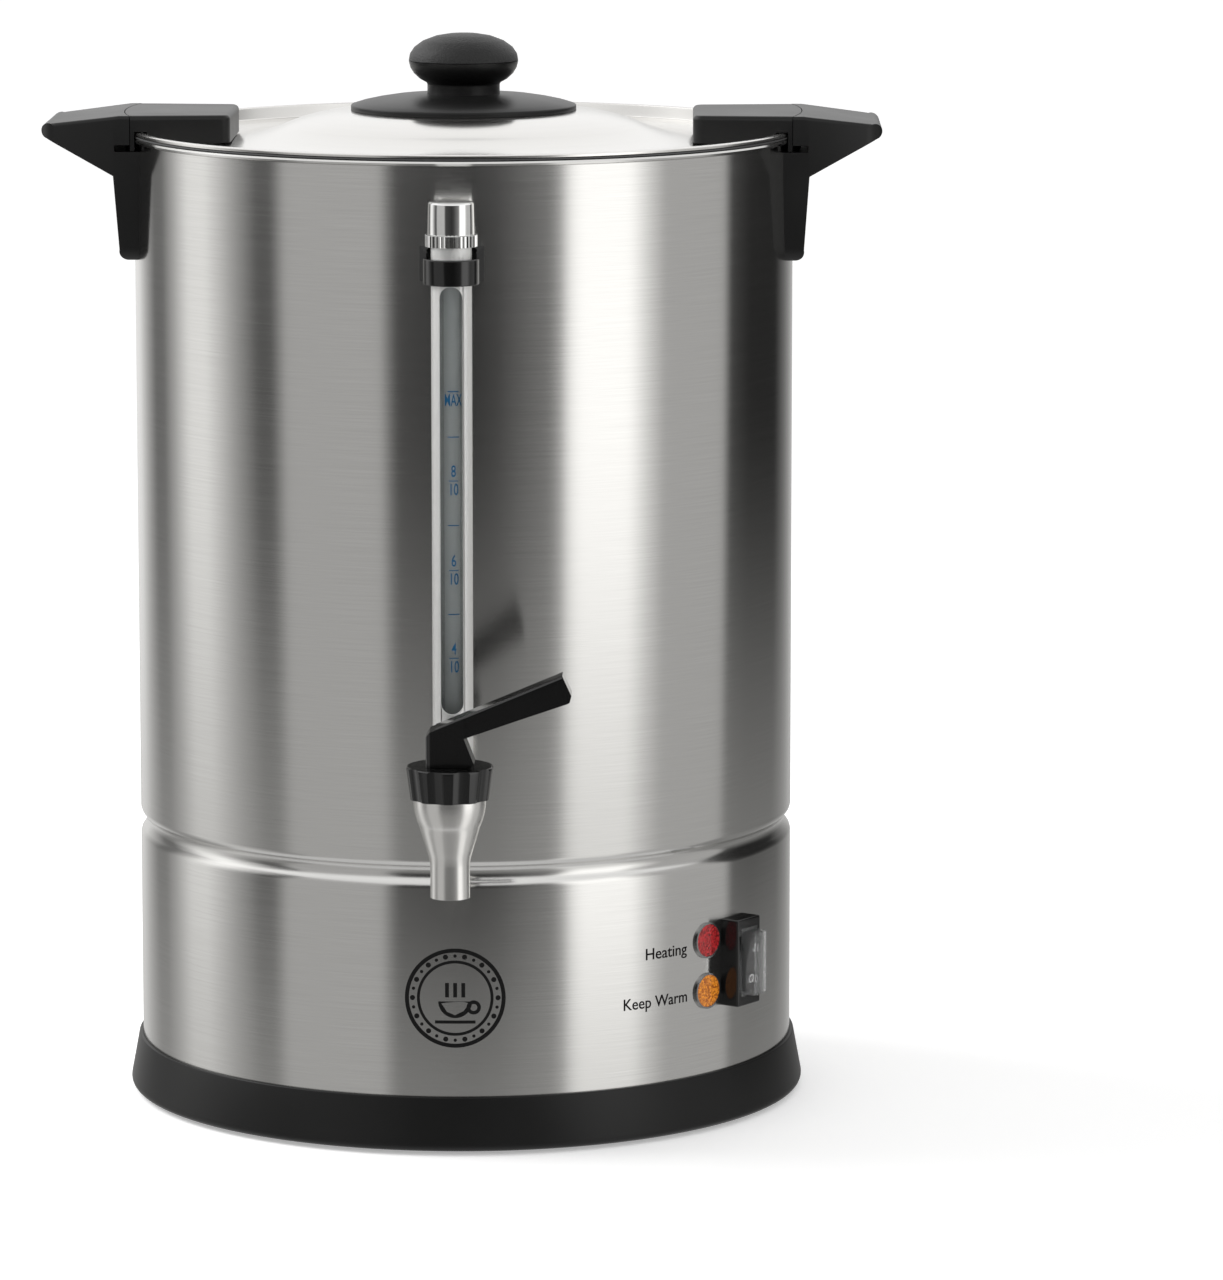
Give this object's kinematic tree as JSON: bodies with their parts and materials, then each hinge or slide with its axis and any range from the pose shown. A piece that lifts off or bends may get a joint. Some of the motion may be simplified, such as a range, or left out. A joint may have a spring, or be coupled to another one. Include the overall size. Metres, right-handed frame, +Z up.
{
  "type": "percolator urn",
  "caption": "Free-standing electric brew kettle: steel drum with a tap, sight gauge, side grips, lift-off lid, switch and lamps, and a percolator insert inside.",
  "frame": {"origin": "centre of the drum on the surface that the urn stands on", "axes": "+Z up through the lid's knob, -Y towards the tap, +X to the right as seen from the tap side"},
  "size_m": [0.3798, 0.3803, 0.4865],
  "materials": {
    "drum_steel": "fine vertical brushing, bright",
    "plain_steel": "mill finish",
    "polished": "bright",
    "satin_metal": "fine blasted satin",
    "black_plastic": "fine grained matt",
    "gloss_black": "glossy",
    "clear": "clear",
    "red_lens": "translucent",
    "amber_lens": "translucent",
    "foot_rubber": "matt",
    "silicone": "matt",
    "aluminium_cast": "cast",
    "white_plastic": "matt",
    "brass_parts": "plain"
  },
  "bodies": {
    "kettle": {"body_shell": "drum_steel", "body_tabs": "plain_steel", "base_skirt": "black_plastic", "foot_ring": "foot_rubber", "bottom_plate": "plain_steel", "base_screws": "plain_steel", "tank_floor": "plain_steel", "heat_plate": "aluminium_cast", "heating_element": "plain_steel", "element_studs": "plain_steel", "element_nuts": "plain_steel", "thermostat": "white_plastic", "thermal_cutout": "white_plastic", "right_grip": "black_plastic", "left_grip": "black_plastic", "grip_screws": "plain_steel", "gauge_glass": "clear", "gauge_guard": "satin_metal", "gauge_seals": "silicone", "gauge_ring": "polished", "gauge_cap": "polished", "gauge_clamp": "gloss_black", "clamp_screw": "plain_steel", "tap_body": "polished", "tap_shank": "brass_parts", "shank_nut": "brass_parts", "tap_gaskets": "silicone", "tap_bonnet": "gloss_black", "tap_spring": "plain_steel", "heating_lamp": "red_lens", "keep_warm_lamp": "amber_lens", "lamp_bezels": "gloss_black", "lamp_nuts": "white_plastic", "switch_frame": "gloss_black", "switch_body": "gloss_black", "splash_cover": "clear", "inlet_socket": "black_plastic", "inlet_pins": "brass_parts", "inlet_screws": "plain_steel", "pump_foot": "aluminium_cast", "pump_tube": "plain_steel", "filter_basket": "plain_steel", "basket_cover": "plain_steel"},
    "lid_turn_ring": {"lid_seal": "silicone"},
    "lid": {"lid_pan": "drum_steel", "right_ear": "black_plastic", "left_ear": "black_plastic", "ear_screws": "plain_steel", "knob_flange": "black_plastic", "lid_knob": "black_plastic", "knob_screw": "plain_steel"},
    "valve": {"seat_cup": "silicone"},
    "lever_pivot": {"tap_stem": "brass_parts", "lever_pin": "plain_steel"},
    "lever": {"tap_lever": "gloss_black"},
    "rocker": {"switch_rocker": "gloss_black"}
  },
  "joints": [
    {"name": "lid_turn", "type": "hinge", "parent": "kettle", "child": "lid_turn_ring", "pos_m": [0, 0, 0.4418], "axis": [0, 0, 1], "range_deg": [0, 30]},
    {"name": "lid_lift", "type": "slide", "parent": "lid_turn_ring", "child": "lid", "axis": [0, 0, 1], "range_m": [0, 0.25]},
    {"name": "valve_lift", "type": "slide", "parent": "kettle", "child": "valve", "axis": [0, 0, 1], "range_m": [0, 0.00287], "stiffness_N_per_m": 300, "springref_m": -0.006, "deforming": ["tap_spring"]},
    {"name": "lever_swivel", "type": "hinge", "parent": "valve", "child": "lever_pivot", "pos_m": [0, -0.205, 0.1939], "axis": [0, 0, 1], "range_deg": [-120, 45]},
    {"name": "lever_tilt", "type": "hinge", "parent": "lever_pivot", "child": "lever", "pos_m": [0, -0.205, 0.1939], "axis": [0, 1, 0], "range_deg": [0, 30], "stiffness_Nm_per_rad": 0.03, "springref_deg": -20.05},
    {"name": "rocker_tilt", "type": "hinge", "parent": "kettle", "child": "rocker", "pos_m": [0.12779, -0.08948, 0.0753], "axis": [0.5736, 0.8192, 0], "range_deg": [-14, 0]}
  ],
  "couplings": [
    {"joint": "lever_tilt", "follows": "valve_lift", "rad_per_m": 181.82}
  ]
}
